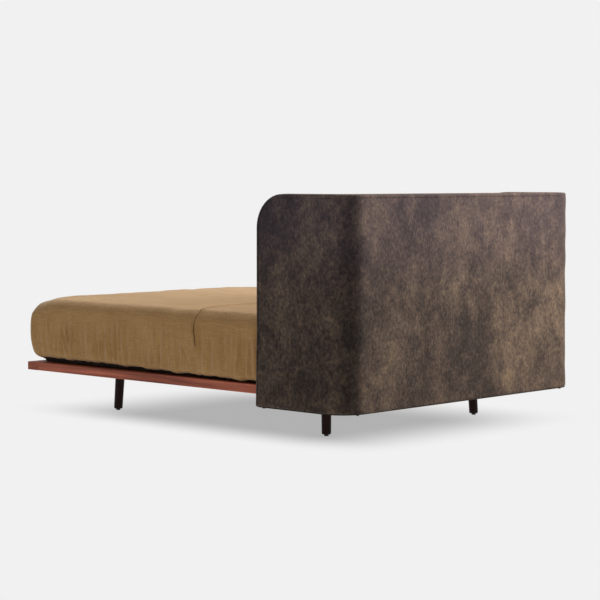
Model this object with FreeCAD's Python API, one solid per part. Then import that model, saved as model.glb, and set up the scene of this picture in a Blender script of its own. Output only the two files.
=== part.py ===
import FreeCAD, Part
import math
import os

# A double bed: a thin walnut platform on four splayed round legs, with a velvet headboard
# that wraps round the head end as two short wings, and a mattress in linen bedding.
# X runs across the bed, Y from the foot (-) to the head (+), Z up, in millimetres.
# The origin is on the floor at the centre of the footprint.

V = FreeCAD.Vector
UP = V(0, 0, 1)

# Mattress and bedding
mattress_width = 1390.0
mattress_length = 1995.0
mattress_height = 296.0
mattress_lift_gap = 0.3        # mattress underside above the slats
mattress_plan_radius = 70.0    # corners seen from above
mattress_edge_radius = 34.0    # top and bottom edges
sheet_thickness = 1.5
sheet_tuck = 16.0              # hem of the fitted sheet above the mattress underside
top_sheet_thickness = 1.5
top_sheet_length = 850.0       # from the mattress's head end to the turned-down hem

# Platform frame
platform_margin_side = 7.0     # platform beyond the mattress, each side
platform_margin_foot = 9.5
platform_margin_head = 17.5
platform_underside = 177.0     # above the floor
rail_depth = 38.0
rail_width = 75.0
rail_edge_radius = 2.5
platform_corner_radius = 30.0  # at the head end, inside the headboard's corners
dowel_radius = 5.0
dowel_length = 70.0
dowel_pitch = 38.0

# Slatted deck
slat_count = 14
slat_width = 70.0
slat_thickness = 13.0
slat_end_gap = 2.0             # slat end to side rail
slat_first_gap = 38.0          # end rail to the first slat
ledger_width = 25.0
ledger_end_gap = 1.0           # ledger end to the piece it stops at
slat_screw_radius = 2.0
slat_screw_head_radius = 4.0
slat_screw_head_depth = 2.4
slat_screw_tip_gap = 6.0       # tip above the ledger's underside

# Steel bearers and centre beam, rectangular tube
bearer_width = 80.0
beam_width = 50.0
tube_wall = 2.5
joint_plate_thickness = 3.0
joint_plate_width = 60.0
joint_plate_overlap = 50.0     # onto the rail and onto the bearer
plate_screw_radius = 2.5
plate_screw_head_radius = 4.5
plate_screw_head_height = 2.2
plate_screw_tip_gap = 6.0      # tip below the slats
plate_screw_inset = 15.0

# Legs
leg_inset_side = 208.0         # platform side to the leg's top centre
leg_inset_foot = 427.0
leg_inset_head = 283.0
leg_splay = 3.4                # degrees off vertical, towards the nearest corner
leg_top_radius = 21.8
leg_bottom_radius = 20.0
leg_chamfer = 4.0
leg_plate_size = 76.0
leg_plate_thickness = 3.0
leg_bolt_radius = 5.0
leg_bolt_depth = 60.0          # into the leg
leg_bolt_rise = 14.0           # into the bearer, above its underside
glide_radius = 9.5
glide_height = 7.0
glide_nail_radius = 1.5
glide_nail_length = 18.0

# Headboard
headboard_gap = 6.0            # platform to the headboard's inner face
headboard_thickness = 82.0
headboard_underside = 136.0
headboard_height = 886.0
wing_length = 499.0            # from the back face to the wing's front
wing_top_radius = 142.0        # front top corner of each wing
cover_thickness = 2.0
wadding_thickness = 6.0
core_thickness = 40.0
border_depth = 15.0            # edge roll along the top and down the wing fronts
border_roundness = 9.0
head_glide_radius = 6.0
head_glide_height = 5.0
head_glide_front_inset = 30.0
head_glide_side_inset = 20.0
head_glide_corner_inset = 100.0

# Brackets between the platform and the headboard
bracket_width = 60.0
bracket_foot_length = 50.0
bracket_drop = 26.0            # upright below the platform's underside
bracket_rise = 32.0
back_bracket_spacing = 800.0
wing_bracket_inset = 150.0     # from the headboard's inner back face
bracket_bolt_radius = 4.0
bracket_bolt_bite = 16.0       # into the headboard's core
bracket_bolt_head_radius = 6.5
bracket_bolt_head_height = 4.0

# Worked out from the sizes above
platform_width = mattress_width + 2 * platform_margin_side
platform_length = mattress_length + platform_margin_foot + platform_margin_head
half_platform = platform_width / 2
overall_width = platform_width + 2 * (headboard_gap + headboard_thickness)
overall_length = platform_length + headboard_gap + headboard_thickness
half_width = overall_width / 2
pad_depth = headboard_thickness - cover_thickness - wadding_thickness - core_thickness
bracket_bolt_depth = pad_depth + bracket_bolt_bite
foot_y = -overall_length / 2
back_y = overall_length / 2
head_y = foot_y + platform_length
rail_top = platform_underside + rail_depth
slat_seat = rail_top - slat_thickness
slat_screw_length = rail_depth - slat_screw_tip_gap
plate_screw_length = joint_plate_thickness + slat_seat - platform_underside - plate_screw_tip_gap
inner_x = half_platform - rail_width
inner_foot_y = foot_y + rail_width
inner_head_y = head_y - rail_width
leg_top_z = platform_underside - leg_plate_thickness
leg_x = half_platform - leg_inset_side
leg_front_y = foot_y + leg_inset_foot
leg_rear_y = head_y - leg_inset_head
headboard_top = headboard_underside + headboard_height
wing_front_y = back_y - wing_length
corner_radius = platform_corner_radius + headboard_gap + headboard_thickness
corner_x = half_width - corner_radius
corner_y = back_y - corner_radius
mattress_foot_y = foot_y + platform_margin_foot
mattress_head_y = mattress_foot_y + mattress_length
mattress_bottom = rail_top + mattress_lift_gap
sides = {"right": 1, "left": -1}
ends = {"front": leg_front_y, "rear": leg_rear_y}


def block(x0, x1, y0, y1, z0, z1):
    return Part.makeBox(abs(x1 - x0), abs(y1 - y0), abs(z1 - z0), V(min(x0, x1), min(y0, y1), min(z0, z1)))


def round_all_long_edges(solid, direction, radius):
    """Round the edges that run along direction."""
    edges = []
    for edge in solid.Edges:
        if abs(edge.tangentAt(edge.FirstParameter).dot(direction)) > 0.999:
            edges.append(edge)
    return solid.makeFillet(radius, edges)


def group(solids):
    return Part.makeCompound(solids)


def tube(x0, x1, y0, y1, along):
    """A rectangular steel tube in the depth between the platform's underside and the slats."""
    outer = block(x0, x1, y0, y1, platform_underside, slat_seat)
    margin_x = 0 if along == "x" else tube_wall
    margin_y = 0 if along == "y" else tube_wall
    inner = block(x0 + margin_x, x1 - margin_x, y0 + margin_y, y1 - margin_y,
                  platform_underside + tube_wall, slat_seat - tube_wall)
    return outer.cut(inner)


def leg_axis(side, end):
    """The leg's top centre and its direction up, leaning in from the nearest corner."""
    lean = math.tan(math.radians(leg_splay)) / math.sqrt(2)
    inward_y = 1 if end == "front" else -1
    direction = V(-side * lean, inward_y * lean, 1)
    top = V(side * leg_x, ends[end], leg_top_z)
    return top, direction


def along_axis(top, direction, z):
    return top + direction * (z - top.z)


def leg_bolt(side, end, radius=leg_bolt_radius):
    top, direction = leg_axis(side, end)
    start = along_axis(top, direction, leg_top_z - leg_bolt_depth)
    finish = along_axis(top, direction, platform_underside + leg_bolt_rise)
    return Part.makeCylinder(radius, start.distanceToPoint(finish), start, direction)


def glide_nail(side, end):
    top, direction = leg_axis(side, end)
    foot = along_axis(top, direction, glide_height)
    return Part.makeCylinder(glide_nail_radius, glide_nail_length, V(foot.x, foot.y, glide_height), UP)


def leg(side, end):
    """A tapered round leg, chamfered at the floor, cut level at both ends."""
    top, direction = leg_axis(side, end)
    spare = 2.0
    base = along_axis(top, direction, glide_height - spare)
    crown = along_axis(top, direction, leg_top_z + spare)
    length = base.distanceToPoint(crown)
    outline = [V(0, 0, 0), V(leg_bottom_radius - leg_chamfer, 0, 0),
               V(leg_bottom_radius, 0, spare + leg_chamfer), V(leg_top_radius, 0, length),
               V(0, 0, length), V(0, 0, 0)]
    turned = Part.Face(Part.makePolygon(outline)).revolve(V(0, 0, 0), UP, 360)
    turned.Placement = FreeCAD.Placement(base, FreeCAD.Rotation(UP, direction))
    reach = 200.0
    slab = block(top.x - reach, top.x + reach, top.y - reach, top.y + reach, glide_height, leg_top_z)
    return turned.common(slab).cut(leg_bolt(side, end)).cut(glide_nail(side, end))


def glide(side, end):
    top, direction = leg_axis(side, end)
    foot = along_axis(top, direction, glide_height)
    disc = Part.makeCylinder(glide_radius, glide_height, V(foot.x, foot.y, 0), UP)
    return disc.fuse(glide_nail(side, end))


def leg_plate(side, end):
    half = leg_plate_size / 2
    top, _ = leg_axis(side, end)
    plate = block(top.x - half, top.x + half, top.y - half, top.y + half, leg_top_z, platform_underside)
    return plate.cut(leg_bolt(side, end))


def bearer(end):
    y = ends[end]
    solid = tube(-inner_x, inner_x, y - bearer_width / 2, y + bearer_width / 2, "x")
    for side in sides.values():
        solid = solid.cut(leg_bolt(side, end))
        for screw in plate_screws_at(side, end):
            solid = solid.cut(screw)
    return solid


def joint_plate(side, end):
    """A flat plate under the joint of a bearer and a side rail."""
    y = ends[end]
    plate = block(side * (inner_x - joint_plate_overlap), side * (inner_x + joint_plate_overlap),
                  y - joint_plate_width / 2, y + joint_plate_width / 2,
                  platform_underside - joint_plate_thickness, platform_underside)
    for screw in plate_screws_at(side, end):
        plate = plate.cut(screw)
    return plate


def plate_screws_at(side, end):
    screws = []
    reach = joint_plate_overlap - plate_screw_inset
    spread = joint_plate_width / 2 - plate_screw_inset
    plate_face = platform_underside - joint_plate_thickness
    for dx in (-reach, reach):
        for dy in (-spread, spread):
            foot = V(side * inner_x + dx, ends[end] + dy, plate_face)
            head = Part.makeCylinder(plate_screw_head_radius, plate_screw_head_height,
                                     foot - UP * plate_screw_head_height, UP)
            screws.append(head.fuse(Part.makeCylinder(plate_screw_radius, plate_screw_length, foot, UP)))
    return screws


def dowels():
    """Pairs of dowels that pin the end rails to the side rails."""
    pins = []
    mid_z = platform_underside + rail_depth / 2
    for side in sides.values():
        for joint_y in (inner_foot_y, inner_head_y):
            for step in (-0.5, 0.5):
                x = side * (half_platform - rail_width / 2) + step * dowel_pitch
                start = V(x, joint_y - dowel_length / 2, mid_z)
                pins.append(Part.makeCylinder(dowel_radius, dowel_length, start, V(0, 1, 0)))
    return pins


def side_rail(side):
    rail = block(side * inner_x, side * half_platform, inner_foot_y, inner_head_y,
                 platform_underside, rail_top)
    rail = round_all_long_edges(rail, V(0, 1, 0), rail_edge_radius)
    for pin in dowels():
        rail = rail.cut(pin)
    for end in ends:
        for screw in plate_screws_at(side, end):
            rail = rail.cut(screw)
    return cut_fixings(rail)


def foot_rail():
    rail = block(-half_platform, half_platform, foot_y, inner_foot_y, platform_underside, rail_top)
    rail = round_all_long_edges(rail, V(1, 0, 0), rail_edge_radius)
    for pin in dowels():
        rail = rail.cut(pin)
    return rail


def head_rail():
    """The rail at the head end, its outer corners rounded to follow the headboard."""
    rail = block(-half_platform, half_platform, inner_head_y, head_y, platform_underside, rail_top)
    upright = [edge for edge in rail.Edges if edge.BoundBox.ZLength > rail_depth / 2]
    outer_corners = [edge for edge in upright if edge.Vertexes[0].Y > head_y - rail_width / 2]
    rail = rail.makeFillet(platform_corner_radius, outer_corners)
    for pin in dowels():
        rail = rail.cut(pin)
    return cut_fixings(rail)


def stretches():
    """The three lengths of deck between the end rails and the bearers."""
    half = bearer_width / 2
    return {"foot": (inner_foot_y, leg_front_y - half), "middle": (leg_front_y + half, leg_rear_y - half),
            "head": (leg_rear_y + half, inner_head_y)}


def ledger(side):
    strips = []
    for y0, y1 in stretches().values():
        strips.append(block(side * (inner_x - ledger_width), side * inner_x,
                            y0 + ledger_end_gap, y1 - ledger_end_gap, platform_underside, slat_seat))
    ledger_set = group(strips)
    for screw in slat_screws(slat_ys()):
        ledger_set = ledger_set.cut(screw)
    return ledger_set


def slat_ys():
    """Centre lines of the slats, evenly pitched between the end rails."""
    first = inner_foot_y + slat_first_gap + slat_width / 2
    last = inner_head_y - slat_first_gap - slat_width / 2
    return [first + (last - first) * i / (slat_count - 1) for i in range(slat_count)]


def slat_screw(x, y):
    """A countersunk wood screw, flush with the slat's top."""
    shank = Part.makeCylinder(slat_screw_radius, slat_screw_length, V(x, y, rail_top - slat_screw_length), UP)
    head = Part.makeCone(slat_screw_radius, slat_screw_head_radius, slat_screw_head_depth,
                         V(x, y, rail_top - slat_screw_head_depth), UP)
    return shank.fuse(head)


def slat_screws(ys):
    """One screw at each slat end, where the slat lies on a ledger."""
    screws = []
    for y in ys:
        for y0, y1 in stretches().values():
            if y0 + slat_screw_head_radius < y < y1 - slat_screw_head_radius:
                for side in sides.values():
                    screws.append(slat_screw(side * (inner_x - ledger_width / 2), y))
    return screws


def slat(y):
    length = inner_x - slat_end_gap
    solid = block(-length, length, y - slat_width / 2, y + slat_width / 2, slat_seat, rail_top)
    for screw in slat_screws([y]):
        solid = solid.cut(screw)
    return solid


def wing_profile(edge, side, outer, inner, bottom):
    """One wing: a side view with a rounded top front corner, drawn in by edge, given its thickness."""
    radius = wing_top_radius - edge
    front = wing_front_y + edge
    top = headboard_top - edge
    x = side * (half_width - (outer if side > 0 else inner))
    centre = V(x, front + radius, top - radius)
    half_turn = radius * math.sqrt(0.5)
    points = [V(x, front, bottom), V(x, front, top - radius), V(x, front + radius, top), V(x, corner_y, top),
              V(x, corner_y, bottom)]
    arc = Part.Arc(points[1], centre + V(0, -half_turn, half_turn), points[2]).toShape()
    wire = Part.Wire([Part.makeLine(points[0], points[1]), arc, Part.makeLine(points[2], points[3]),
                      Part.makeLine(points[3], points[4]), Part.makeLine(points[4], points[0])])
    return Part.Face(wire).extrude(V(-(inner - outer), 0, 0))


def corner_piece(side, outer, inner, bottom, top):
    """A quarter ring that joins a wing to the back."""
    centre = V(side * corner_x, corner_y, bottom)
    start = 0 if side > 0 else 90
    ring = Part.makeCylinder(corner_radius - outer, top - bottom, centre, UP, 90)
    ring = ring.cut(Part.makeCylinder(corner_radius - inner, top - bottom, centre, UP, 360))
    ring.rotate(centre, UP, start)
    return ring


def wall_pieces(outer, inner, edge, bottom):
    """The headboard between two depths from its outer face, as back, corners and wings."""
    top = headboard_top - edge
    pieces = {"back": block(-corner_x, corner_x, back_y - inner, back_y - outer, bottom, top)}
    for name, side in sides.items():
        pieces["corner_" + name] = corner_piece(side, outer, inner, bottom, top)
        pieces["wing_" + name] = wing_profile(edge, side, outer, inner, bottom)
    return pieces


def wall(outer, inner, edge, bottom):
    pieces = list(wall_pieces(outer, inner, edge, bottom).values())
    return pieces[0].multiFuse(pieces[1:]).removeSplitter()


def headboard_border():
    """The edge roll: the full thickness along the top and down both wing fronts."""
    whole = wall(0, headboard_thickness, 0, headboard_underside)
    inside = wall(-1, headboard_thickness + 1, border_depth, headboard_underside - 1)
    roll = whole.cut(inside)
    edges = []
    for edge in roll.Edges:
        middle = edge.valueAt((edge.FirstParameter + edge.LastParameter) / 2)
        tangent = edge.tangentAt(edge.FirstParameter)
        along_top = abs(middle.z - headboard_top) < 0.01
        down_front = abs(middle.y - wing_front_y) < 0.01 and abs(tangent.z) > 0.99
        crosses_wing = edge.Length < headboard_thickness + 1 and abs(tangent.x) > 0.9
        if (along_top or down_front or on_wing_arc(middle)) and not crosses_wing:
            edges.append(edge)
    return roll.makeFillet(border_roundness, edges)


def on_wing_arc(point):
    dy = point.y - (wing_front_y + wing_top_radius)
    dz = point.z - (headboard_top - wing_top_radius)
    return dy < 0 < dz and abs(math.hypot(dy, dz) - wing_top_radius) < 0.01


def bracket_places():
    """Position on the headboard's inner face and direction into the bed for each bracket."""
    face_y = back_y - headboard_thickness
    face_x = half_width - headboard_thickness
    wing_y = face_y - wing_bracket_inset
    back = V(0, -1, 0)
    return [(V(back_bracket_spacing / 2, face_y, 0), back), (V(-back_bracket_spacing / 2, face_y, 0), back),
            (V(face_x, wing_y, 0), V(-1, 0, 0)), (V(-face_x, wing_y, 0), V(1, 0, 0))]


def oriented_block(place, inward, depth0, depth1, half, z0, z1):
    """A box from depth0 to depth1 into the bed, half to each side of the bracket's middle."""
    across = V(-inward.y, inward.x, 0)
    a = place + inward * depth0 - across * half
    b = place + inward * depth1 + across * half
    return block(a.x, b.x, a.y, b.y, z0, z1)


def bracket_fixings():
    """Two bolts into the headboard core and two up into the rail for each bracket."""
    fixings = []
    foot_top = platform_underside
    for place, inward in bracket_places():
        across = V(-inward.y, inward.x, 0)
        for step in (-0.25, 0.25):
            shift = across * (step * bracket_width)
            level = V(0, 0, platform_underside - bracket_drop / 2 - headboard_gap / 2)
            start = place + shift + level + inward * headboard_gap
            reach = bracket_bolt_depth + headboard_gap
            bolt = Part.makeCylinder(bracket_bolt_radius, reach, start, inward * -1)
            head = Part.makeCylinder(bracket_bolt_head_radius, bracket_bolt_head_height, start, inward)
            fixings.append(bolt.fuse(head))
            foot = place + shift + inward * (headboard_gap + bracket_foot_length * 0.7)
            seat = V(foot.x, foot.y, foot_top - headboard_gap)
            screw = Part.makeCylinder(bracket_bolt_radius, headboard_gap + rail_depth * 0.6, seat, UP)
            cap = Part.makeCylinder(bracket_bolt_head_radius, bracket_bolt_head_height, seat, UP * -1)
            fixings.append(screw.fuse(cap))
    return fixings


def bracket(place, inward):
    half = bracket_width / 2
    foot_bottom = platform_underside - headboard_gap
    upright = oriented_block(place, inward, 0, headboard_gap, half, platform_underside - bracket_drop,
                             platform_underside + bracket_rise)
    foot = oriented_block(place, inward, headboard_gap, headboard_gap + bracket_foot_length, half,
                          foot_bottom, platform_underside)
    return cut_fixings(upright.fuse(foot).removeSplitter())


def cut_fixings(solid):
    for fixing in bracket_fixings():
        solid = solid.cut(fixing)
    return solid


def head_glides():
    """Small studs under the headboard, for standing it on the floor before it is fitted."""
    x_wing = half_width - head_glide_side_inset
    y_wing = wing_front_y + head_glide_front_inset
    x_back = half_width - head_glide_corner_inset
    y_back = back_y - head_glide_side_inset
    studs = []
    for side in sides.values():
        for x, y in ((x_wing, y_wing), (x_back, y_back)):
            base = V(side * x, y, headboard_underside - head_glide_height)
            studs.append(Part.makeCylinder(head_glide_radius, head_glide_height, base, UP))
    return group(studs)


def mattress_with(grow):
    """The mattress's block with rounded corners and edges, grown by the cloth on it."""
    half = mattress_width / 2 + grow
    solid = block(-half, half, mattress_foot_y - grow, mattress_head_y + grow,
                  mattress_bottom - grow, mattress_bottom + mattress_height + grow)
    solid = round_all_long_edges(solid, UP, mattress_plan_radius + grow)
    rims = [edge for edge in solid.Edges if abs(edge.BoundBox.ZLength) < 0.01]
    return solid.makeFillet(mattress_edge_radius + grow, rims)


def above(solid, z):
    reach = overall_length
    return solid.common(block(-reach, reach, -reach, reach, z, z + reach))


def fitted_sheet():
    """Cloth over the mattress's top and sides, with its hem above the slats."""
    return above(mattress_with(sheet_thickness).cut(mattress_with(0)), mattress_bottom + sheet_tuck)


def top_sheet():
    """A second cloth over the head end of the bed, its turned-down hem lying across the mattress."""
    layer = mattress_with(sheet_thickness + top_sheet_thickness).cut(mattress_with(sheet_thickness))
    reach = overall_length
    hem_y = mattress_head_y - top_sheet_length
    keep = block(-reach, reach, hem_y, reach, mattress_bottom + sheet_tuck, reach)
    return layer.common(keep)


def build():
    nodes = {}
    nodes["foot_rail"] = foot_rail()
    nodes["head_rail"] = head_rail()
    for name, side in sides.items():
        nodes["side_rail_" + name] = side_rail(side)
        nodes["slat_ledger_" + name] = ledger(side)
        for end in ends:
            nodes["leg_" + end + "_" + name] = leg(side, end)
            nodes["glide_" + end + "_" + name] = glide(side, end)
    for end in ends:
        nodes["bearer_" + end] = bearer(end)
    for name, (y0, y1) in stretches().items():
        nodes["centre_beam_" + name] = tube(-beam_width / 2, beam_width / 2, y0, y1, "y")
    for i, y in enumerate(slat_ys()):
        nodes["slat_%02d" % (i + 1)] = slat(y)
    corners = [(side, end) for side in sides.values() for end in ends]
    nodes["slat_screws"] = group(slat_screws(slat_ys()))
    nodes["rail_dowels"] = group(dowels())
    nodes["joint_plates"] = group([joint_plate(side, end) for side, end in corners])
    nodes["joint_plate_screws"] = group([s for side, end in corners for s in plate_screws_at(side, end)])
    nodes["leg_plates"] = group([leg_plate(side, end) for side, end in corners])
    nodes["leg_bolts"] = group([leg_bolt(side, end) for side, end in corners])

    skin = cover_thickness
    core_out = skin + wadding_thickness
    core_in = core_out + core_thickness
    pad_in = headboard_thickness - skin
    low = headboard_underside + skin
    for name, piece in wall_pieces(core_out, core_in, border_depth, low).items():
        nodes["headboard_core_" + name] = cut_fixings(piece)
    for name, piece in wall_pieces(core_in, pad_in, border_depth, low).items():
        nodes["headboard_pad_" + name] = cut_fixings(piece)
    nodes["headboard_wadding"] = wall(skin, core_out, border_depth, low)
    nodes["headboard_cover_outer"] = wall(0, skin, border_depth, headboard_underside)
    inner_cover = wall(pad_in, headboard_thickness, border_depth, headboard_underside)
    nodes["headboard_cover_inner"] = cut_fixings(inner_cover)
    nodes["headboard_border"] = headboard_border()
    bottom_plate = wall(skin, pad_in, border_depth, headboard_underside)
    nodes["headboard_dust_cover"] = bottom_plate.cut(wall(skin - 1, pad_in + 1, border_depth - 1, low))
    nodes["headboard_glides"] = head_glides()
    nodes["headboard_brackets"] = group([bracket(place, inward) for place, inward in bracket_places()])
    nodes["bracket_bolts"] = group(bracket_fixings())

    nodes["mattress"] = mattress_with(0)
    nodes["fitted_sheet"] = fitted_sheet()
    nodes["top_sheet"] = top_sheet()
    return nodes


os.makedirs("parts", exist_ok=True)
for node_name, shape in build().items():
    shape.exportStep(os.path.join("parts", node_name + ".step"))
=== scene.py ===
import bpy
import numpy as np
from math import pi, radians
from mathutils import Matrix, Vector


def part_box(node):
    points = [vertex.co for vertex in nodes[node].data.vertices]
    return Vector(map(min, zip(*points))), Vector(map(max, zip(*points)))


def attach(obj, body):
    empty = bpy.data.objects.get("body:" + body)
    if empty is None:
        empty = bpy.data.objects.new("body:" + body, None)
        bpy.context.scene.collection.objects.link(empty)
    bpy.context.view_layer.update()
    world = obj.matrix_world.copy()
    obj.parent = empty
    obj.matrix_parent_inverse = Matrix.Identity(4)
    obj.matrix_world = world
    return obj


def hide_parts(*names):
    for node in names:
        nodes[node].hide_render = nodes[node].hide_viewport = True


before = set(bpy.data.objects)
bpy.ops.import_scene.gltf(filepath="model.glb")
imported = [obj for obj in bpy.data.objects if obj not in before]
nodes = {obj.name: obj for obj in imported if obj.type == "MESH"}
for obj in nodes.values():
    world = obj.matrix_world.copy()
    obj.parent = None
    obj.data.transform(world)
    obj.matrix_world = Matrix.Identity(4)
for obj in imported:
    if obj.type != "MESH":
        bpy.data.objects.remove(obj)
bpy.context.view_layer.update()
print("frame loaded,", len(nodes), "parts")


def linear(hexColour):
    # sRGB to linear light: c / 12.92 near black, ((c + 0.055) / 1.055) ^ 2.4 above it
    parts = [int(hexColour[i:i + 2], 16) / 255 for i in (1, 3, 5)]
    return [c / 12.92 if c < 0.04045 else ((c + 0.055) / 1.055) ** 2.4 for c in parts] + [1.0]


def addNode(tree, kind, inputs=None, **settings):
    # one shader node, its settings, and each input as a value or a link
    node = tree.nodes.new("ShaderNode" + kind)
    for name, value in settings.items():
        setattr(node, name, value)
    for key, value in (inputs or {}).items():
        if isinstance(value, bpy.types.NodeSocket):
            tree.links.new(value, node.inputs[key])
        else:
            node.inputs[key].default_value = value
    return node


def newMaterial(name):
    # an empty material and its node tree
    material = bpy.data.materials.new(name)
    material.use_nodes = True
    material.node_tree.nodes.clear()
    return material, material.node_tree


def closeMaterial(tree, shader):
    # the shader joined to the material's output
    addNode(tree, "OutputMaterial", {"Surface": shader.outputs[0]})


def stretched(tree, scale):
    # object coordinates multiplied by a scale per axis, so that one unit is 1 / scale metres
    place = addNode(tree, "TexCoord").outputs["Object"]
    return addNode(tree, "Mapping", {"Vector": place, "Scale": scale}).outputs[0]


def noise(tree, scale, detail=2.0, roughness=0.5, distortion=0.0):
    # fractal noise with so many blotches per metre along each axis
    return addNode(tree, "TexNoise", {"Vector": stretched(tree, scale), "Scale": 1.0, "Detail": detail,
                                      "Roughness": roughness, "Distortion": distortion}).outputs["Fac"]


def ramp(tree, factor, stops):
    # colours at places along 0 to 1, as (place, hex colour or grey)
    node = addNode(tree, "ValToRGB", {"Fac": factor})
    row = node.color_ramp.elements
    while len(row) < len(stops):
        row.new(0.5)
    for element, (place, colour) in zip(row, stops):
        element.position = place
        element.color = linear(colour) if isinstance(colour, str) else (colour, colour, colour, 1)
    return node.outputs["Color"]


def blendColour(tree, factor, first, second, how="MIX"):
    # first * (1 - factor) + factor * (second, or first and second combined the way named)
    return addNode(tree, "Mix", {0: factor, 6: first, 7: second}, data_type="RGBA",
                   blend_type=how, clamp_result=True).outputs[2]


def number(tree, how, first, second=0.0, third=0.0):
    # one sum with up to three numbers; MULTIPLY_ADD is first * second + third
    return addNode(tree, "Math", {0: first, 1: second, 2: third}, operation=how).outputs[0]


def weighted(tree, *pairs):
    # the sum of each factor times its weight
    total = number(tree, "MULTIPLY", *pairs[0])
    for factor, weight in pairs[1:]:
        total = number(tree, "ADD", total, number(tree, "MULTIPLY", factor, weight))
    return total


def between(tree, value, start, end, low=0.0, high=1.0, soft=True):
    # low at start, high at end, along 3 t^2 - 2 t^3 if soft and along t if not
    return addNode(tree, "MapRange", {0: value, 1: start, 2: end, 3: low, 4: high},
                   interpolation_type="SMOOTHSTEP" if soft else "LINEAR").outputs[0]


def apart(tree, which="Object"):
    # x, y and z of a texture coordinate
    return addNode(tree, "SeparateXYZ", {0: addNode(tree, "TexCoord").outputs[which]}).outputs


def bumped(tree, height, distance, strength, normal=None):
    # a height in 0 to 1 as relief of a distance in metres, over another normal if there is one
    inputs = {"Height": height, "Distance": distance, "Strength": strength}
    if normal is not None:
        inputs["Normal"] = normal
    return addNode(tree, "Bump", inputs).outputs[0]


def smoothStep(low, high, value):
    # 3 t^2 - 2 t^3 between low and high
    t = np.clip((value - low) / (high - low), 0, 1)
    return t * t * (3 - 2 * t)


def ripples(places, shortest, longest, seed, count=28, lean=(1.0, 1.0)):
    # a sum of cosines with random headings and phases, wave lengths between two sizes in metres
    rng = np.random.default_rng(seed)
    turn = rng.uniform(0, 2 * pi, count)
    size = 2 * pi / np.exp(rng.uniform(np.log(shortest), np.log(longest), count))
    waves = np.stack([np.cos(turn) * size * lean[0], np.sin(turn) * size * lean[1]])
    return np.cos(places @ waves + rng.uniform(0, 2 * pi, count)).sum(1) / np.sqrt(count / 2)


def outline(size, radii, inset, arcSteps, runSteps):
    # a closed line one inset inside a rounded rectangle, anticlockwise from the middle of its first
    # corner; each side is half an arc, a straight run and half an arc, and each arc's radius is the
    # corner's less the inset
    width, height = size
    smallest = 0.0006
    radius = np.maximum(np.array(radii) - inset, smallest)
    off = inset + radius
    middles = np.array([[off[0], off[0]], [width - off[1], off[1]],
                        [width - off[2], height - off[2]], [off[3], height - off[3]]])
    points = []
    normals = []
    for k in range(4):
        after = (k + 1) % 4
        straight = radians(270 + 90 * k)
        first = straight - pi / 4 * (1 - np.linspace(0, 1, arcSteps[k], endpoint=False))
        second = straight + pi / 4 * np.linspace(0, 1, arcSteps[after], endpoint=False)
        out = np.array([np.cos(straight), np.sin(straight)])
        start = middles[k] + radius[k] * out
        end = middles[after] + radius[after] * out
        share = np.linspace(0, 1, runSteps[k], endpoint=False)[:, None]
        ways = [np.stack([np.cos(first), np.sin(first)], 1), np.repeat(out[None], runSteps[k], 0),
                np.stack([np.cos(second), np.sin(second)], 1)]
        points += [middles[k] + radius[k] * ways[0], start + (end - start) * share,
                   middles[after] + radius[after] * ways[2]]
        normals += ways
    return np.concatenate(points), np.concatenate(normals)


def fillGrid(ring, sides, firstIndex):
    # a Coons patch inside a closed ring of four sides: the sum of the two straight blends between
    # opposite sides, less the blend of the four corners; the ring's own points are its edge
    nu, nv = sides[0], sides[1]
    corner = np.cumsum([0] + list(sides))
    index = np.arange(len(ring))
    low = np.append(index[corner[0]:corner[1]], index[corner[1]])
    right = np.append(index[corner[1]:corner[2]], index[corner[2]])
    top = np.append(index[corner[2]:corner[3]], index[corner[3]])[::-1]
    left = np.append(index[corner[3]:corner[4]], index[0])[::-1]
    u = np.linspace(0, 1, nu + 1)[1:-1, None, None]
    v = np.linspace(0, 1, nv + 1)[None, 1:-1, None]
    c00, c10, c01, c11 = ring[low[0]], ring[low[-1]], ring[top[0]], ring[top[-1]]
    inside = ((1 - v) * ring[low[1:-1]][:, None] + v * ring[top[1:-1]][:, None]
              + (1 - u) * ring[left[1:-1]][None] + u * ring[right[1:-1]][None]
              - (1 - u) * (1 - v) * c00 - u * (1 - v) * c10 - (1 - u) * v * c01 - u * v * c11)
    grid = np.zeros((nu + 1, nv + 1), int)
    grid[:, 0], grid[:, -1], grid[0], grid[-1] = low, top, left, right
    edge = grid.copy()
    grid[1:-1, 1:-1] = -1
    inner = firstIndex + np.arange((nu - 1) * (nv - 1)).reshape(nu - 1, nv - 1)
    return inside.reshape(-1, 2), edge, inner


def quadsOf(grid):
    # the four corners of every cell of an index grid, anticlockwise
    return np.stack([grid[:-1, :-1], grid[1:, :-1], grid[1:, 1:], grid[:-1, 1:]], -1).reshape(-1, 4)


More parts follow.
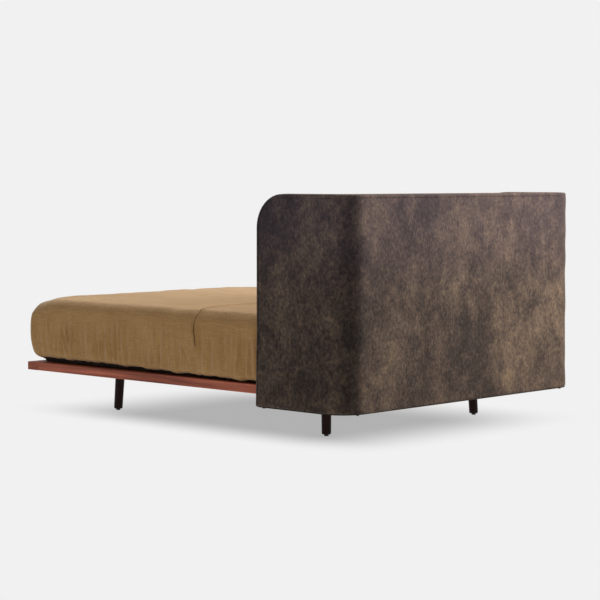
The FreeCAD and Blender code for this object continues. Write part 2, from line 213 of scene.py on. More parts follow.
def padGrid(size, radii, arcSteps, runSteps, rows, patchInset, closed):
    # rings of an outline at (inset, depth) rows, from the front face round the edge to the back,
    # with the front, and the back if closed, filled by a patch of half as many points each way
    count = sum(arcSteps) * 2 + sum(runSteps)
    rings = [outline(size, radii, inset, arcSteps, runSteps) for inset, _ in rows]
    flat = [r[0] for r in rings]
    ways = [r[1] for r in rings]
    depth = [np.full(count, d) for _, d in rows]
    around = np.arange(count)
    nextOne = np.roll(around, -1)
    faces = [np.stack([k * count + around, (k + 1) * count + around,
                       (k + 1) * count + nextOne, k * count + nextOne], 1) for k in range(len(rows) - 1)]
    quads = [np.concatenate(faces)]
    fives = []
    total = len(rows) * count
    sides = [(arcSteps[k] + runSteps[k] + arcSteps[(k + 1) % 4]) // 2 for k in range(4)]
    for last in ((0, 1) if closed else (0,)):
        ring, way = outline(size, radii, patchInset, arcSteps, runSteps)
        ring, way = ring[::2], way[::2]
        half = count // 2
        start = total
        inside, edge, inner = fillGrid(ring, sides, start + half)
        grid = edge + start
        grid[1:-1, 1:-1] = inner
        row = (len(rows) - 1) * count if last else 0
        small = np.arange(half)
        after = (small + 1) % half
        band = np.stack([start + small, row + 2 * small, row + 2 * small + 1,
                         row + (2 * small + 2) % count, start + after], 1)
        cells = quadsOf(grid)
        quads.append(cells[:, ::-1] if last else cells)
        fives.append(band[:, ::-1] if last else band)
        flat += [ring, inside]
        ways += [way, np.zeros_like(inside)]
        depth.append(np.full(half + len(inside), rows[-1][1] if last else rows[0][1]))
        total += half + len(inside)
    return np.concatenate(flat), np.concatenate(ways), np.concatenate(depth), quads, fives


def makePiece(name, points, faceSets, material, body):
    # a smooth-shaded mesh object at the origin, riding its body
    mesh = bpy.data.meshes.new(name)
    faces = [face for group in faceSets for face in group.tolist()]
    mesh.from_pydata(points.tolist(), [], faces)
    mesh.validate()
    mesh.polygons.foreach_set("use_smooth", np.full(len(mesh.polygons), True))
    mesh.update()
    piece = bpy.data.objects.new(name, mesh)
    bpy.context.scene.collection.objects.link(piece)
    mesh.materials.append(material)
    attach(piece, body)
    return piece


def crushedVelvet():
    # viscose velvet, pile pressed and brushed unevenly: dark where it leans away, pale where it
    # leans to the eye, with a soft glow at the edges; the pile's own grain is drawn at about 3 mm,
    # coarser than the real half millimetre
    material, tree = newMaterial("crushed velvet")
    drift = noise(tree, (2.6, 2.6, 1.7), 2.0, 0.5, 0.3)
    patches = noise(tree, (12.5, 12.5, 10), 7.0, 0.74, 0.35)
    presses = noise(tree, (75, 75, 62), 4.0, 0.70, 0.2)
    streaks = noise(tree, (330, 330, 60), 2.0, 0.6)
    pile = noise(tree, (700, 700, 260), 2.0, 0.7)
    lean = weighted(tree, (drift, 0.24), (patches, 0.36))
    fine = weighted(tree, (presses, 0.30), (streaks, 0.10))
    colour = ramp(tree, number(tree, "ADD", lean, fine), [
        (0.38, "#191514"), (0.457, "#322a27"), (0.50, "#433832"), (0.545, "#55483e"), (0.63, "#74624f")])
    # painted sheen and shade: a cooler light is added to the colour towards the top as painted sheen, and
    # the colour is darkened low down as painted shade
    height = apart(tree)[2]
    upper = between(tree, height, 0.50, 1.0)
    lower = between(tree, height, 0.50, 0.14)
    colour = blendColour(tree, upper, colour, (0.017, 0.013, 0.021, 1), "ADD")
    colour = blendColour(tree, lower, colour, (0.86, 0.84, 0.83, 1), "MULTIPLY")
    # painted shade: round the two outer upright corners, mostly behind their middle, the colour is
    # darkened: the amount follows |x| * y^3 of the normal, for y above 0
    facing = apart(tree, "Normal")
    behind = number(tree, "POWER", number(tree, "MAXIMUM", facing[1]), 3.0)
    bend = number(tree, "MULTIPLY", number(tree, "ABSOLUTE", facing[0]), behind)
    colour = blendColour(tree, between(tree, bend, 0.02, 0.30), colour, (0.55, 0.55, 0.56, 1), "MULTIPLY")
    hills = weighted(tree, (streaks, 0.5), (pile, 0.5))
    normal = bumped(tree, presses, 0.006, 0.35, bumped(tree, hills, 0.0012, 0.5))
    shader = addNode(tree, "BsdfPrincipled", {
        "Base Color": colour, "Roughness": 0.92, "Normal": normal, "Specular IOR Level": 0.15,
        "Sheen Weight": 0.35, "Sheen Roughness": 0.38, "Sheen Tint": linear("#c4a88e")})
    closeMaterial(tree, shader)
    return material


def washedLinen():
    # garment-washed linen, plain weave: slubs along both threads, a dry surface that pales at a
    # low angle; the weave is drawn at about 2.5 mm, coarser than its real half millimetre
    material, tree = newMaterial("washed linen")
    threads = [noise(tree, [9 if axis == along else 420 for axis in range(3)]) for along in range(3)]
    slubs = number(tree, "ADD", number(tree, "ADD", threads[0], threads[1]), threads[2])
    clouds = noise(tree, (5, 5, 5), 3.0)
    shade = weighted(tree, (slubs, 0.28), (clouds, 0.16))
    colour = ramp(tree, shade, [(0.38, "#8a6639"), (0.50, "#9e7848"), (0.62, "#b28d5c")])
    crinkle = noise(tree, (38, 38, 14), 4.0, 0.6, 0.5)
    normal = bumped(tree, crinkle, 0.008, 0.65, bumped(tree, slubs, 0.0010, 0.45))
    shader = addNode(tree, "BsdfPrincipled", {
        "Base Color": colour, "Roughness": 0.85, "Normal": normal, "Specular IOR Level": 0.25,
        "Sheen Weight": 0.30, "Sheen Roughness": 0.45, "Sheen Tint": linear("#fff3df")})
    closeMaterial(tree, shader)
    return material


def solidTimber(name, along, tints, rings=62.0, gloss=0.58, shine=0.20):
    # solid timber, planed and oiled: growth rings cut lengthwise, pores as short dark dashes,
    # darker end grain because it takes up more oil; rings is how many there are to the metre
    material, tree = newMaterial(name)
    long = [1.0 if axis == along else 0.0 for axis in range(3)]
    sizes = [[length if axis == along else width for axis in range(3)]
             for length, width in ((1.6, 22.0), (2.2, rings), (26, 900))]
    wander = noise(tree, sizes[0], 3.0)
    figure = noise(tree, sizes[1], 4.0, 0.55, 0.35)
    pores = noise(tree, sizes[2], 2.0, 0.6)
    both = weighted(tree, (figure, 0.62), (wander, 0.38))
    colour = ramp(tree, both, list(zip((0.34, 0.47, 0.56, 0.68), tints)))
    dark = ramp(tree, pores, [(0.30, 1.0), (0.42, 0.0)])
    colour = blendColour(tree, number(tree, "MULTIPLY", dark, 0.45), colour, linear(tints[0]))
    facing = addNode(tree, "VectorMath", {0: addNode(tree, "TexCoord").outputs["Normal"], 1: long},
                     operation="DOT_PRODUCT").outputs["Value"]
    ends = ramp(tree, number(tree, "ABSOLUTE", facing), [(0.75, 0.0), (0.92, 1.0)])
    colour = blendColour(tree, number(tree, "MULTIPLY", ends, 0.55), colour, linear(tints[0]))
    normal = bumped(tree, pores, 0.0004, 0.35, bumped(tree, figure, 0.0008, 0.25))
    shader = addNode(tree, "BsdfPrincipled", {"Base Color": colour, "Roughness": gloss, "Normal": normal,
                                              "Specular IOR Level": shine})
    closeMaterial(tree, shader)
    return material


def plainSurface(name, dark, light, grain, rough, bump=0.0003, metal=0.0, finer=(1, 1, 1)):
    # one even finish with a fine grain of the given size in metres, so many times finer along each
    # axis: colour is half that grain and half a broad cloud, and height is the grain
    material, tree = newMaterial(name)
    fine = noise(tree, [axis / grain for axis in finer], 3.0, 0.6)
    broad = noise(tree, (7, 7, 7), 3.0)
    colour = ramp(tree, weighted(tree, (fine, 0.5), (broad, 0.5)), [(0.38, dark), (0.62, light)])
    closeMaterial(tree, addNode(tree, "BsdfPrincipled", {
        "Base Color": colour, "Roughness": rough, "Metallic": metal,
        "Normal": bumped(tree, fine, bump, 0.5)}))
    return material


def mattressTicking():
    # woven cotton ticking: cream ground with grey stripes, about 12 mm apart, slightly wandering
    material, tree = newMaterial("cotton ticking")
    wave = addNode(tree, "TexWave", {
        "Vector": stretched(tree, (1, 1, 1)), "Scale": 26.0, "Distortion": 0.6, "Detail": 2.0,
        "Detail Scale": 3.0}, bands_direction="X").outputs["Fac"]
    thread = noise(tree, (700, 700, 700), 2.0, 0.6)
    colour = ramp(tree, wave, [(0.35, "#cfc8b9"), (0.55, "#ddd8cb"), (0.9, "#a9a396")])
    shader = addNode(tree, "BsdfPrincipled", {"Base Color": colour, "Roughness": 0.9,
                                              "Normal": bumped(tree, thread, 0.0004, 0.5),
                                              "Sheen Weight": 0.15})
    closeMaterial(tree, shader)
    return material


walnutTints = ["#763d2e", "#9c5641", "#b2644d", "#c7755b"]
legTints = ["#120605", "#1c0b08", "#26110c", "#321812"]
beechTints = ["#b08a5e", "#c49d6e", "#d2ae80", "#dcbc92"]
velvet = crushedVelvet()
linen = washedLinen()
# painted shade: a thin dark brown strip along the top sheet's free edge, standing in for the shadow beside
# its raised hem; reads as a thin dark line
hemShadeLine = plainSurface("painted shade line on the top sheet's edge", "#3f2713", "#5e3f22", 0.0012, 0.9, 0.0004)
# painted shade: the sheets' lower edges are coloured matt and dark, standing in for the shade in the gap
# over the rail
gapShade = plainSurface("painted shade on the sheets' lower edges", "#1a120b", "#2c1f13", 0.0020, 0.95, 0.0004)
ticking = mattressTicking()
# walnut, oiled to a soft shine: red-brown with darker rings
walnutX = solidTimber("oiled walnut, grain across", 0, walnutTints)
walnutY = solidTimber("oiled walnut, grain lengthwise", 1, walnutTints)
# beech stained nearly black: the rings only just show
legWood = solidTimber("dark stained beech", 2, legTints, 90.0, 0.5, 0.14)
# beech straight from the planer: pale, dry and close-grained
beechX = solidTimber("raw beech slat", 0, beechTints, 110.0, 0.62)
beechY = solidTimber("raw beech ledger", 1, beechTints, 110.0, 0.62)
# birch plywood, sanded: pale with thin layers one above the other
plywood = plainSurface("birch plywood", "#b79466", "#cfae80", 0.004, 0.7, 0.0002, finer=(1, 1, 14))
# steel with a baked powder coat: black, slightly pebbled
powderCoat = plainSurface("powder-coated steel", "#141414", "#1e1d1c", 0.0012, 0.55, 0.0002)
# screws and bolts with a zinc plating: bright grey metal, a little dull
zinc = plainSurface("zinc-plated steel", "#9c9d9c", "#bfc0bd", 0.0009, 0.32, 0.00005, 1.0)
# moulded nylon glides: black with a faint sheen
nylon = plainSurface("black nylon", "#0d0d0d", "#171716", 0.0015, 0.5, 0.0001)
# spun-bond polypropylene under the headboard: black and quite matt
dustCloth = plainSurface("spun-bond dust cloth", "#161616", "#222120", 0.0022, 0.95, 0.0004)

finishes = {"walnut": walnutY, "leg_wood": legWood, "slat_wood": beechX, "headboard_wood": plywood,
            "black_steel": powderCoat, "zinc_steel": zinc, "glide_plastic": nylon,
            "dust_cloth": dustCloth}
grainAcross = {"foot_rail": walnutX, "head_rail": walnutX, "slat_ledger_right": beechY,
               "slat_ledger_left": beechY, "rail_dowels": beechY}
for nodeName, part in nodes.items():
    for place in part.material_slots:
        if nodeName in grainAcross:
            place.material = grainAcross[nodeName]
        elif place.material and place.material.name.split(".")[0] in finishes:
            place.material = finishes[place.material.name.split(".")[0]]
print("materials made")


# lengths in metres; dentSize and waveSize are the shortest and longest unevenness of the padding
headboard = {
    "wingTopRadius": 0.142, "bottomRadius": 0.010, "edgeRound": 0.012, "seamInset": 0.015,
    "seamDepth": 0.0026, "seamWidth": 0.0016, "faceLip": 0.0015, "lipReach": 0.012, "bandCrown": 0.0012,
    "dents": 0.0008, "dentSize": (0.09, 0.30), "waves": 0.0009, "waveSize": (0.30, 0.90),
    "settle": 0.0012, "flare": 0.006, "flareLength": 0.30, "flareHeight": 0.34, "step": 0.0078,
    "coverInner": 0.002, "patchInset": 0.078,
}


def headboardPath(length, offset, plan):
    # plan place at a run length along the wall's middle line, moved outwards by an offset:
    # straight wing, quarter circle, straight back, quarter circle, straight wing
    wingFront, middleX, centreX, centreY = plan
    radius = middleX - centreX
    wing = centreY - wingFront
    bend = radius * pi / 2
    back = 2 * centreX
    stops = np.cumsum([0, wing, bend, back, bend])
    turn = (np.clip(length - stops[1], 0, bend) + np.clip(length - stops[3], 0, bend)) / radius
    straightBack = np.clip(length - stops[2], 0, back)
    away = radius + offset
    secondWing = np.maximum(length - stops[4], 0)
    x = np.where(length < stops[2], centreX, centreX - straightBack) + away * np.cos(turn)
    y = centreY - np.clip(wing - length, 0, wing) - secondWing + away * np.sin(turn)
    return x, y


borderLow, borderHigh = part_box("headboard_border")
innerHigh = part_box("headboard_pad_wing_right")[0]
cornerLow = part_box("headboard_core_corner_right")[0]
# half the wall's thickness; the inner cover lies a little inside the pad's face
half = (borderHigh.x - innerHigh.x + headboard["coverInner"]) / 2
plan = (borderLow.y, borderHigh.x - half, cornerLow.x, cornerLow.y)
wallRun = 2 * (cornerLow.y - borderLow.y) + 2 * cornerLow.x + (plan[1] - cornerLow.x) * pi
wallHeight = borderHigh.z - borderLow.z

# rows from the rim of one face, closest together at the seam, round the edge to the other face
edge = headboard["edgeRound"]
angles = np.linspace(0, pi / 2, 8)
faceInsets = [0.060, 0.048, 0.038, 0.030, 0.0245, 0.0210, 0.0185, 0.0172, 0.0163, 0.0156, 0.0150,
              0.0144, 0.0137, 0.0129]
front = [(inset, half) for inset in faceInsets]
front += [(edge * (1 - np.sin(a)), half - edge * (1 - np.cos(a))) for a in angles]
front += [(0.0, d) for d in np.linspace(half - edge, 0, 5)[1:]]
rows = front + [(inset, -d) for inset, d in front[-2::-1]]
# points along each side; opposite sides have to come out equal, so the top run has fewer by as many
# as its two corners have more
lowArc, highArc = 4, 16
radius = headboard["wingTopRadius"]
runX = 2 * round(wallRun / headboard["step"] / 2)
runZ = 2 * round((wallHeight - radius - 0.008) / headboard["step"] / 2)
flat, ways, depth, quads, fives = padGrid(
    (wallRun, wallHeight), (headboard["bottomRadius"],) * 2 + (radius,) * 2,
    (lowArc, lowArc, highArc, highArc), (runX, runZ, runX - 2 * (highArc - lowArc), runZ),
    rows, headboard["patchInset"], True)

# distance from the edge of the face, which the seam follows round the top corners but not along
# the bottom
nearBottom = smoothStep(0.017, 0.026, flat[:, 1])
sideways = np.minimum(flat[:, 0], wallRun - flat[:, 0])
upwards = wallHeight - flat[:, 1]
cornerDistance = radius - np.hypot(np.maximum(radius - sideways, 0), np.maximum(radius - upwards, 0))
inCorner = (sideways < radius) & (upwards < radius)
edgeDistance = np.where(inCorner, cornerDistance, np.minimum(sideways, upwards))
edgeDistance = np.minimum(edgeDistance, flat[:, 1] + (1 - nearBottom) * 0.05)
# the seam is a groove of bell section, and the face falls to it by a lip
pastSeam = edgeDistance - headboard["seamInset"]
groove = np.exp(-(pastSeam / headboard["seamWidth"]) ** 2)
lip = np.where(pastSeam < 0, 0.45, np.exp(-np.maximum(pastSeam, 0) / headboard["lipReach"]))
onFace = smoothStep(half - 0.006, half - 0.0005, np.abs(depth))
soft = smoothStep(0.02, 0.12, edgeDistance) * smoothStep(0.01, 0.06, flat[:, 1])
side = np.sign(depth)
dents = [ripples(flat, *headboard["dentSize"], seed) * headboard["dents"] for seed in (3, 7)]
waves = ripples(flat, *headboard["waveSize"], 5, 16) * headboard["waves"]
sink = onFace * (headboard["seamDepth"] * groove * nearBottom + headboard["faceLip"] * lip * nearBottom)
uneven = np.where(side > 0, dents[0], dents[1]) + waves - headboard["settle"]
depth = depth - side * sink + side * onFace * soft * uneven
# the border between the two seams is a little crowned
band = 1 - smoothStep(0, half - edge, np.abs(depth))
flat = flat + ways * (band * headboard["bandCrown"])[:, None] * (edgeDistance < 0.001)[:, None]
# the wings widen a little towards their lower front corners
frontShare = smoothStep(headboard["flareLength"], 0.0, np.minimum(flat[:, 0], wallRun - flat[:, 0]))
flare = headboard["flare"] * frontShare * smoothStep(headboard["flareHeight"], 0.02, flat[:, 1])
flat[:, 0] += np.where(flat[:, 0] < wallRun / 2, -flare, flare)
x, y = headboardPath(flat[:, 0], depth, plan)
points = np.stack([x, y, borderLow.z + flat[:, 1]], 1)
shell = makePiece("headboard_velvet", points, quads + fives, velvet, "frame")
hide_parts("headboard_cover_outer", "headboard_cover_inner", "headboard_border",
            "headboard_wadding", "headboard_pad_back", "headboard_pad_corner_right",
            "headboard_pad_corner_left", "headboard_pad_wing_right", "headboard_pad_wing_left")
print("headboard made,", len(points), "points")


# lengths in metres; gathers start at foldTop above the floor and are full at foldFull, and a pair
# called Size holds the shortest and longest wave; wings stand beside the bed past wingsFrom
bed = {
    "planRadius": 0.056, "edgeRadius": 0.055, "sheetLift": 0.0017, "mattressGap": 0.0080,
    "thickness": 0.0013, "step": 0.0076, "patchInset": 0.125,
    "crown": 0.0045, "headRise": 0.0085, "farRise": 0.0085, "topWave": 0.0009, "topSize": (0.10, 0.45),
    "cornerDrop": 0.034, "cornerReach": 0.095, "cornerShares": (0.82, 0.18), "cornerSeam": 0.0018,
    "gather": 0.0040, "gatherSize": (0.060, 0.150), "fineGather": 0.0028, "fineSize": (0.026, 0.050),
    "foldTop": 0.47, "foldFull": 0.32, "bulge": 0.0022, "lowerWave": 0.0017, "lowerSize": (0.035, 0.20),
    "headSettle": 0.014, "deepest": 0.0058, "highest": 0.011, "wingsFrom": (1.53, 1.60),
    "wingRoom": 0.003, "gapShadeRows": 5,
}
# how far the foot corners draw in, in metres, at heights in metres above the floor
cornerHeights = [0.228, 0.234, 0.247, 0.275, 0.303, 0.331, 0.359, 0.388, 0.417, 0.446, 0.475, 0.490,
                 0.505, 0.5135]
cornerPull = [0.020, 0.014, 0.002, -0.008, -0.014, -0.017, -0.018, -0.018, -0.017, -0.015, -0.013,
              -0.012, -0.012, -0.012]

mattressLow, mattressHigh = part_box("mattress")
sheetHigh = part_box("fitted_sheet")[1]
bedSize = (mattressHigh.x - mattressLow.x, mattressHigh.y - mattressLow.y)
bedStart = np.array([mattressLow.x, mattressLow.y])


def bedShape(flat, ways, height, lift, folds=1.0, extra=()):
    # places on the made bed: plan place, the way out at the edge, the height, and a lift off the
    # mattress; the top is crowned, the foot corners are drawn in, and the sides hang in gathers,
    # each a sum of cosines along the side, and in creases, each a groove of bell section
    width, length = bedSize
    centred = (flat - np.array(bedSize) / 2) / (np.array(bedSize) / 2)
    isEdge = np.hypot(ways[:, 0], ways[:, 1]) > 0.5
    toSide = np.minimum(flat[:, 0], width - flat[:, 0])
    toFoot = flat[:, 1]
    toHead = length - flat[:, 1]
    softFoot = np.exp(-(np.hypot(width - flat[:, 0], toFoot) / bed["cornerReach"]) ** 2)
    others = np.exp(-(np.hypot(toSide, np.minimum(toFoot, toHead)) / bed["cornerReach"]) ** 2)
    upper = smoothStep(0.40, 0.50, height)
    crown = bed["crown"] * (1 - 0.95 * np.clip(centred[:, 0], 0, 1) ** 4
                            - 0.35 * np.clip(-centred[:, 0], 0, 1) ** 8)
    nearShare = np.clip(centred[:, 0], 0, 1) ** 2
    farShare = np.clip(-centred[:, 0], 0, 1) ** 2
    crown = crown + bed["headRise"] * smoothStep(0.35, 1.65, toFoot) * smoothStep(0.0, 0.12, toHead) * (
        1 - 1.6 * nearShare)
    crown = crown + bed["farRise"] * farShare * smoothStep(0.0, 0.40, toFoot) * smoothStep(0.0, 0.5, toHead)
    footShare, otherShare = bed["cornerShares"]
    dropped = height + upper * (crown - bed["cornerDrop"] * (footShare * softFoot + otherShare * others))
    waves = ripples(flat, *bed["topSize"], 21) * smoothStep(0.0, 0.10, toSide)
    dropped = dropped + upper * bed["topWave"] * waves
    # along the edge, measured from the foot end on each side
    sideRun = np.where(np.abs(ways[:, 0]) > np.abs(ways[:, 1]), flat[:, 1] * np.sign(ways[:, 0]),
                       flat[:, 0] + 5.0 * np.sign(ways[:, 1]))
    place = np.stack([sideRun, height * 0.22], 1)
    nearCorner = np.minimum(toSide + toFoot, toSide + toHead)
    along = smoothStep(0.05, 0.16, nearCorner + bed["edgeRadius"])
    lower = smoothStep(bed["foldTop"], bed["foldFull"], height)
    lower = lower * (1 - 0.75 * smoothStep(0.285, 0.245, height))
    gathers = bed["gather"] * ripples(place, *bed["gatherSize"], 31, 20, (1, 0.6))
    gathers = gathers + bed["fineGather"] * ripples(place, *bed["fineSize"], 33, 26, (1, 0.5))
    push = folds * lower * along * gathers
    for run, low, run2, high, deep, wide in creases + list(extra):
        a = np.array([run, low])
        b = np.array([run2, high])
        here = np.stack([sideRun, height], 1) - a
        share = np.clip(here @ (b - a) / ((b - a) @ (b - a)), 0, 1)
        far = np.hypot(*(here - share[:, None] * (b - a)).T)
        ridge = np.exp(-(far / wide) ** 2) - 0.6 * np.exp(-((far - 2.0 * wide) / wide) ** 2)
        push = push - folds * deep * ridge * np.sin(pi * np.clip(share, 0.08, 0.92))
    # the mattress limits the folds inwards, and outwards the wings do
    besideWings = smoothStep(*bed["wingsFrom"], toFoot)
    highest = bed["highest"] - (bed["highest"] - bed["wingRoom"]) * besideWings
    push = np.clip(push, -bed["deepest"], highest)
    dropped = dropped + folds * bed["lowerWave"] * smoothStep(0.275, 0.25, height) * isEdge * (
        smoothStep(0.220, 0.232, height) * ripples(place, *bed["lowerSize"], 37, 24, (1, 0.2)))
    # the hanging edge settles nearer the rail towards the head
    atEdge = smoothStep(0.300, 0.262, height) * smoothStep(0.226, 0.243, height) * isEdge
    settle = bed["headSettle"] * np.abs(ways[:, 0]) * smoothStep(0.35, 1.35, toFoot)
    dropped = dropped - folds * atEdge * settle
    bulge = bed["bulge"] * np.sin(pi * np.clip((height - 0.235) / 0.25, 0, 1))
    pull = np.interp(height, cornerHeights, cornerPull)
    diagonal = np.abs(ways[:, 0] * ways[:, 1]) * 2
    reach = np.where(isEdge, np.exp(-(np.maximum(nearCorner - 0.04, 0) / 0.13) ** 2), 0)
    foot = np.where(toFoot < toHead, 1.0, 0.55)
    seam = bed["cornerSeam"] * np.exp(-((1 - diagonal) / 0.012) ** 2) * (height < 0.49) * (diagonal > 0.5)
    out = lift + (bulge + push) * isEdge - pull * reach * foot * np.maximum(diagonal, 0.45) - seam
    moved = flat + ways * out[:, None] + bedStart
    return np.column_stack([moved, dropped + lift * (~isEdge | (height > 0.508))])


def thicken(cloth):
    # the cloth's thickness, added inwards
    thick = cloth.modifiers.new("cloth thickness", "SOLIDIFY")
    thick.thickness = bed["thickness"]
    thick.offset = -1


# creases as place along the side and height at each end, depth and width, in metres; a minus sign is
# the far side, and 5 is added or taken off for the head and the foot
rng = np.random.default_rng(12)
creases = [(0.2405, 0.375, 0.2845, 0.277, 0.0072, 0.007), (0.5335, 0.398, 0.5515, 0.280, 0.0068, 0.006),
           (0.150, 0.330, 0.175, 0.285, 0.0025, 0.006)]
for start in (-1.0, 1.0):
    for k in range(5):
        run = start * rng.uniform(0.25, 1.75)
        low = rng.uniform(0.30, 0.40)
        creases.append((run, low, run + start * rng.uniform(0.01, 0.04), low - rng.uniform(0.05, 0.10),
                        rng.uniform(0.0028, 0.0056), rng.uniform(0.005, 0.008)))
for end in (-5.0, 5.0):
    for k in range(6):
        run = end + rng.uniform(0.15, 1.25)
        low = rng.uniform(0.31, 0.42)
        creases.append((run, low, run + rng.uniform(-0.04, 0.04), low - rng.uniform(0.05, 0.10),
                        rng.uniform(0.0015, 0.0035), rng.uniform(0.005, 0.008)))

# the bed's cross-section as (inset, height): the flat top, the rounded edge, the side, and the curl
# under it
topZ = sheetHigh.z
roundEdge = bed["edgeRadius"]
turnAngles = np.linspace(0, pi / 2, 9)
sheetRows = [(0.108, topZ), (0.093, topZ), (0.080, topZ), (0.070, topZ), (0.062, topZ)]
sheetRows += [(roundEdge * (1 - np.sin(a)), topZ - roundEdge * (1 - np.cos(a))) for a in turnAngles]
sheetRows += [(0.0, z) for z in np.linspace(topZ - roundEdge, 0.268, 18)[1:]]
sheetRows += [(0.0010, 0.2605), (0.0035, 0.2535), (0.0080, 0.2475), (0.0145, 0.2430), (0.0225, 0.2400),
              (0.0300, 0.2375), (0.0365, 0.2340), (0.0415, 0.2300), (0.0445, 0.2255), (0.0460, 0.2210),
              (0.0468, 0.2172)]
runAcross, runAlong = [2 * round((side - 0.14) / bed["step"] / 2) for side in bedSize]
flat, ways, depth, quads, fives = padGrid(
    bedSize, (bed["planRadius"],) * 4, (10,) * 4, (runAcross, runAlong, runAcross, runAlong),
    sheetRows, bed["patchInset"], False)
# one deep crease runs just footward of the top sheet's edge
besideHem = [(1.128, 0.475, 1.153, 0.325, 0.0085, 0.007)]
points = bedShape(flat, ways, depth, bed["sheetLift"], 1.0, besideHem)
cover = makePiece("linen_fitted_sheet", points, quads + fives, linen, "bedding")
# painted shade: the last rows of the sheet's lower edge take the dark colour
count = len(quads[0]) // (len(sheetRows) - 1)
paintedShadeZones = np.zeros(len(cover.data.polygons), int)
paintedShadeZones[len(quads[0]) - bed["gapShadeRows"] * count:len(quads[0])] = 1
cover.data.materials.append(gapShade)
cover.data.polygons.foreach_set("material_index", paintedShadeZones)
thicken(cover)
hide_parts("fitted_sheet")

# the mattress follows the sheet's own cross-section, a little inside it
section = np.array(sheetRows)
tangent = np.gradient(section, axis=0)
tangent = tangent / np.hypot(*tangent.T)[:, None]
inner = section + bed["mattressGap"] * np.stack([-tangent[:, 1], tangent[:, 0]], 1)
mattressRows = [tuple(row) for row in inner[::2]]
mattressRows += [(0.058, 0.2160), (0.066, mattressLow.z), (0.080, mattressLow.z)]
flat, ways, depth, quads, fives = padGrid(
    bedSize, (bed["planRadius"],) * 4, (6,) * 4, (62, 92, 62, 92), mattressRows, 0.10, True)
body = bedShape(flat, ways, depth, bed["sheetLift"], 0.0)
core = makePiece("mattress_body", body, quads + fives, ticking, "bedding")
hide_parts("mattress")

# the turned-down top sheet: the bed's own cross-section from hem to hem, carried from its free
# edge to the head, lying a little off the fitted sheet
sheet = {
    "edgeY": 0.0995, "sag": 0.013, "wander": 0.002, "headGap": 0.062, "hemWidth": 0.020, "gap": 0.0022,
    "hemRise": 0.0009, "edgeCurl": 0.0100, "edgeLift": 0.0030, "midSteps": 110, "hemShadeColumns": 3,
}
crossRows = sheetRows[::-1]
sideInset = np.array([row[0] for row in crossRows])
sideZ = np.array([row[1] for row in crossRows])
midX = np.linspace(0.120, bedSize[0] - 0.120, sheet["midSteps"])
acrossX = np.concatenate([bedSize[0] - sideInset, midX[::-1], sideInset[::-1]])
acrossZ = np.concatenate([sideZ, np.full(sheet["midSteps"], topZ), sideZ[::-1]])
outward = np.ones(len(sideInset))
acrossWay = np.concatenate([outward, np.zeros(sheet["midSteps"]), -outward])
# stations from the free edge to the head, closest together at the edge and at the hem's seam
hem = sheet["hemWidth"]
nearEdge = np.array([0, 0.4, 1.2, 3, 6, 10, 14, 17, 18.6, 19.4, 20, 20.6, 21.6, 24, 28, 33, 39]) / 1000
lastY = mattressHigh.y - sheet["headGap"]
restY = np.arange(sheet["edgeY"] + 0.046, lastY - 0.004, bed["step"])
stationY = np.concatenate([sheet["edgeY"] + nearEdge, restY, [lastY]])
gridX, gridY = np.meshgrid(acrossX, stationY, indexing="ij")
gridZ = np.repeat(acrossZ[:, None], len(stationY), 1)
gridWay = np.repeat(acrossWay[:, None], len(stationY), 1)
# the free edge sags headward down the sides and wanders a little, fading towards the head
down = smoothStep(topZ - 0.02, 0.30, gridZ)
fromEdge = gridY - sheet["edgeY"]
fade = np.exp(-fromEdge / 0.25)
around = np.stack([gridX.ravel(), gridZ.ravel() * 1.3], 1)
wander = sheet["wander"] * ripples(around, 0.12, 0.5, 44).reshape(gridX.shape)
shifted = gridY + fade * (sheet["sag"] * down * np.abs(gridWay) + wander)
flat = np.stack([gridX.ravel(), shifted.ravel() - bedStart[1]], 1)
ways = np.stack([gridWay.ravel(), np.zeros(gridWay.size)], 1)
# the gap under it: more in the hem, less at its seam, and more again where the free edge curls up
inHem = (fromEdge < hem).ravel()
gap = sheet["gap"] + sheet["hemRise"] * inHem
gap = gap - 0.0009 * np.exp(-((fromEdge.ravel() - hem) / 0.0012) ** 2)
curl = sheet["edgeCurl"] * np.exp(-fromEdge / 0.018) * smoothStep(0.49, 0.42, gridZ) * smoothStep(
    0.29, 0.37, gridZ)
raised = sheet["edgeLift"] * (0.4 + 0.6 * smoothStep(0.28, 0.37, gridZ.ravel()))
gap = gap + curl.ravel() + raised * np.exp(-fromEdge.ravel() / 0.012)
points = bedShape(flat, ways, gridZ.ravel(), bed["sheetLift"] + gap)
index = np.arange(gridX.size).reshape(gridX.shape)
over = makePiece("linen_top_sheet", points, [quadsOf(index)[:, ::-1]], linen, "bedding")
over.data.materials.append(hemShadeLine)
over.data.materials.append(gapShade)
# painted shade: a dark strip at the free edge, and the dark colour on the lower edges at both sides
paintedShadeZones = np.zeros((len(acrossX) - 1, len(stationY) - 1), int)
paintedShadeZones[19:-19, :sheet["hemShadeColumns"]] = 1
paintedShadeZones[:bed["gapShadeRows"]] = 2
paintedShadeZones[-bed["gapShadeRows"]:] = 2
over.data.polygons.foreach_set("material_index", paintedShadeZones.ravel())
thicken(over)
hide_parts("top_sheet")
print("bedding made")


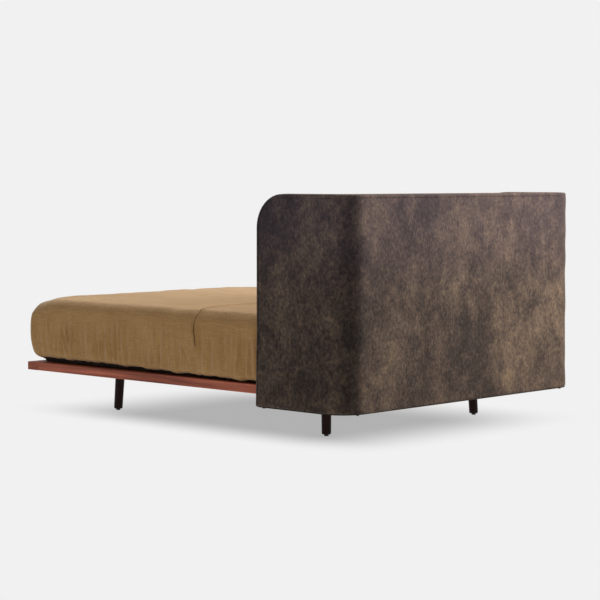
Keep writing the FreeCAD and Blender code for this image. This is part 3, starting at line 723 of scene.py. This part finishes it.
# shadeSides holds an axis and the places where the floor's shade starts and is full, in metres;
# world and overhead hold a direction's x or z at each end and the strength there; turns in degrees
studio = {
    "lens": 114.6, "shiftY": -0.12, "cameraPlace": (6.4225, 6.1229, 1.0827),
    "cameraPitch": -1.465, "cameraTurn": 133.325, "paper": "#F1F1F1", "floorReach": 60,
    "shadeDepth": 0.50, "footReach": 0.06, "footDepth": 0.15,
    "shadeSides": [(0, 0.90, 0.50), (0, -0.90, -0.15), (1, -1.16, -0.36), (1, 1.25, 0.65)],
    "world": (-0.75, 0.15, 0.86, 0.265), "overhead": (0.25, 1.0, 0.0, 0.30),
    "keyStrength": 2.45, "keyHeight": 48.0, "keyTurn": 168.0, "keySize": 26.0,
    "sidePower": 100.0, "sidePlace": (-2.2, 2.5, 1.4), "sideSize": 1.2, "sidePitch": 78.0,
    "sideTurn": 225.0, "sideColour": (1.0, 0.90, 0.79),
}
scene = bpy.context.scene
scene.view_settings.view_transform = "Standard"
cameraData = bpy.data.cameras.new("camera")
cameraData.lens = studio["lens"]
cameraData.sensor_width = 36.0
cameraData.shift_y = studio["shiftY"]
camera = bpy.data.objects.new("camera", cameraData)
camera.location = studio["cameraPlace"]
camera.rotation_euler = (radians(90 + studio["cameraPitch"]), 0, radians(studio["cameraTurn"]))
scene.collection.objects.link(camera)
scene.camera = camera

paper, tree = newMaterial("pale floor")
# glowing paper with a soft shade under the bed, the product of a smooth step in from each side of
# it, and a little more close to whatever stands on it
place = apart(tree)
shade = addNode(tree, "AmbientOcclusion", {"Distance": studio["footReach"]}, samples=8).outputs["AO"]
shade = number(tree, "MULTIPLY_ADD", shade, -studio["footDepth"], 1 + studio["footDepth"])
for axis, outside, inside in studio["shadeSides"]:
    shade = number(tree, "MULTIPLY", shade, between(tree, place[axis], outside, inside))
glow = number(tree, "MULTIPLY_ADD", shade, -studio["shadeDepth"], 1.0)
closeMaterial(tree, addNode(tree, "Emission", {"Color": linear(studio["paper"]), "Strength": glow}))
floorMesh = bpy.data.meshes.new("floor")
far = studio["floorReach"]
floorMesh.from_pydata([(-far, -far, 0), (far, -far, 0), (far, far, 0), (-far, far, 0)], [], [(0, 1, 2, 3)])
floor = bpy.data.objects.new("floor", floorMesh)
floorMesh.materials.append(paper)
scene.collection.objects.link(floor)

world = bpy.data.worlds.new("studio")
world.use_nodes = True
tree = world.node_tree
tree.nodes.clear()
way = apart(tree, "Generated")
light = number(tree, "ADD", between(tree, way[0], *studio["world"], soft=False),
               between(tree, way[2], *studio["overhead"], soft=False))
isCamera = addNode(tree, "LightPath").outputs["Is Camera Ray"]
back = addNode(tree, "Background", {"Color": linear(studio["paper"]), "Strength": 1.0})
lamp = addNode(tree, "Background", {"Color": (1, 1, 1, 1), "Strength": light})
mixed = addNode(tree, "MixShader", {0: isCamera, 1: lamp.outputs[0], 2: back.outputs[0]})
addNode(tree, "OutputWorld", {"Surface": mixed.outputs[0]})
scene.world = world

keyData = bpy.data.lights.new("key", "SUN")
keyData.energy = studio["keyStrength"]
keyData.angle = radians(studio["keySize"])
key = bpy.data.objects.new("key", keyData)
key.rotation_euler = (radians(90 - studio["keyHeight"]), 0, radians(studio["keyTurn"] + 90))
scene.collection.objects.link(key)
sideData = bpy.data.lights.new("side", "AREA")
sideData.energy = studio["sidePower"]
sideData.size = studio["sideSize"]
sideData.color = studio["sideColour"]
side = bpy.data.objects.new("side", sideData)
side.location = studio["sidePlace"]
side.rotation_euler = (radians(studio["sidePitch"]), 0, radians(studio["sideTurn"]))
scene.collection.objects.link(side)
print("stage set")
